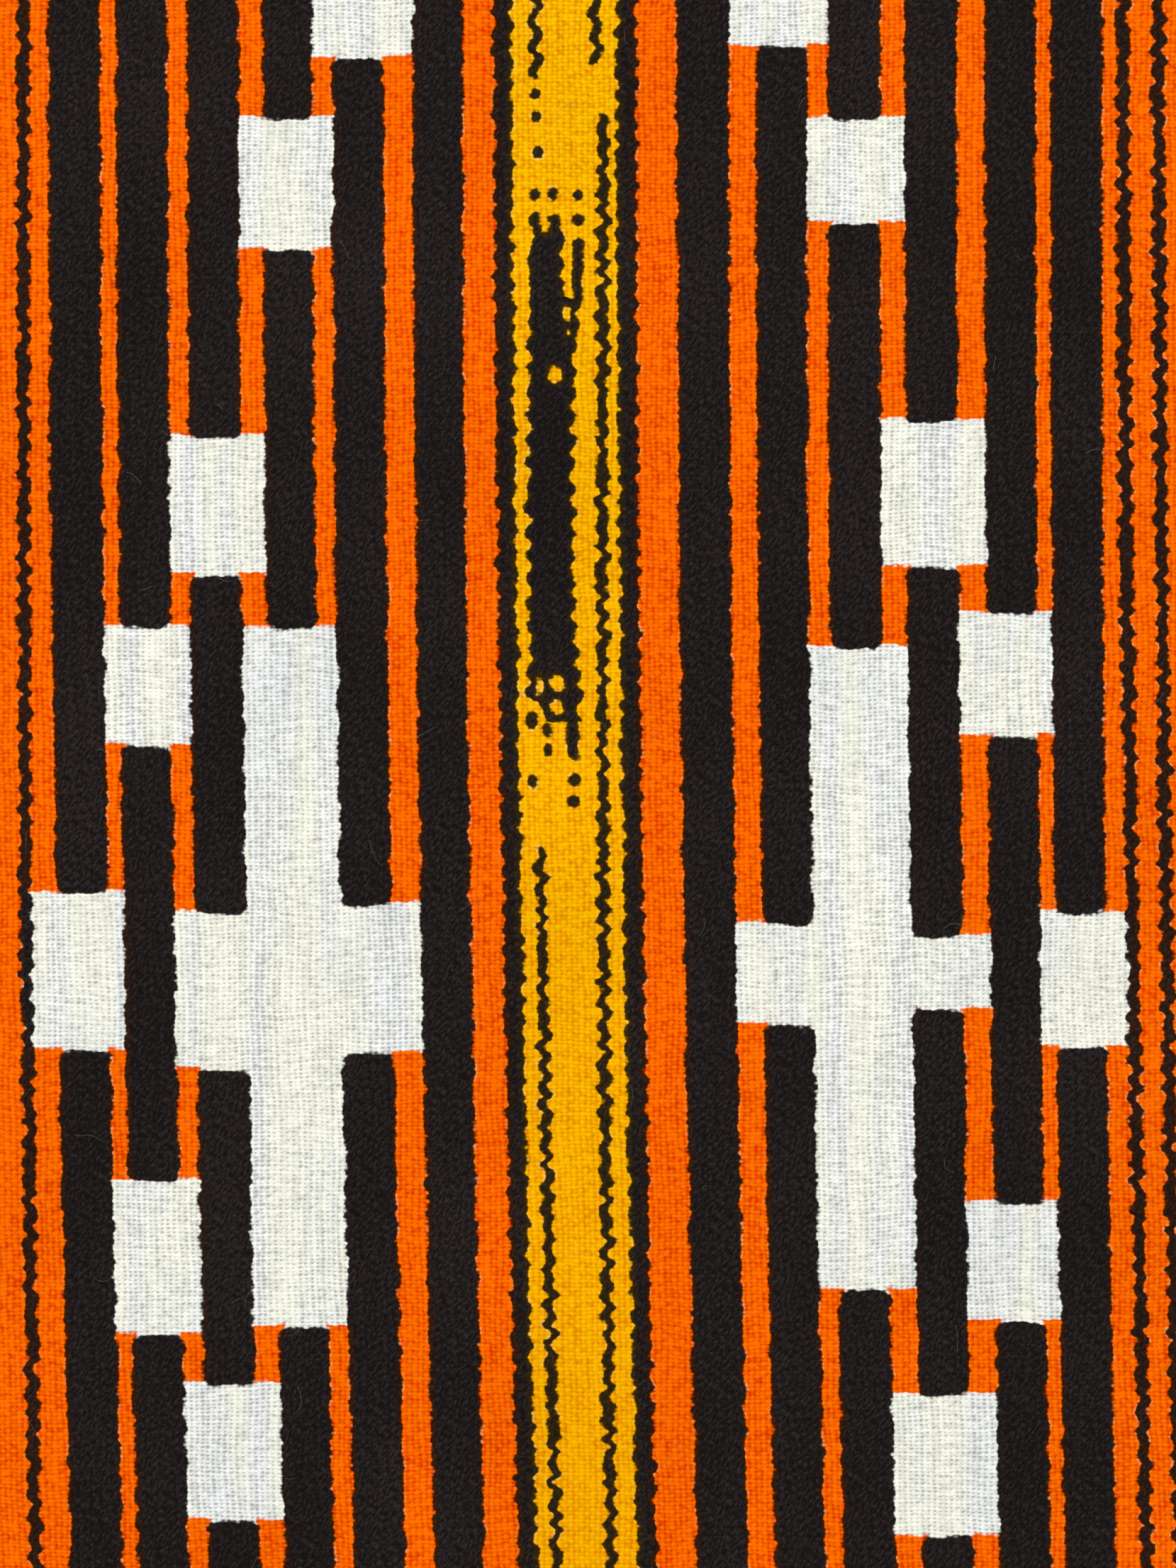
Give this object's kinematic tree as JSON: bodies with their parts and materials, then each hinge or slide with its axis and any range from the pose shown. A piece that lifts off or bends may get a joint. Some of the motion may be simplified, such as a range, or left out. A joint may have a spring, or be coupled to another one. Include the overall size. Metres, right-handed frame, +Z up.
{
  "type": "cut length of printed cotton fabric",
  "caption": "Flat cut length of plain-weave cotton with a printed strip-cloth pattern: black and orange stripes, stepped white blocks and a yellow band.",
  "frame": {"origin": "under the middle of the cloth, on the surface that it lies on", "axes": "+X across the printed stripes, +Y along them towards the design's upper end, +Z up out of the printed face"},
  "size_m": [0.153, 0.2001, 0.0032],
  "materials": {
    "printed_cotton": "matte plain weave, printed on its face in black, orange and yellow on white, paler on its back"
  },
  "bodies": {
    "root": {"cloth": "printed_cotton"}
  },
  "joints": []
}
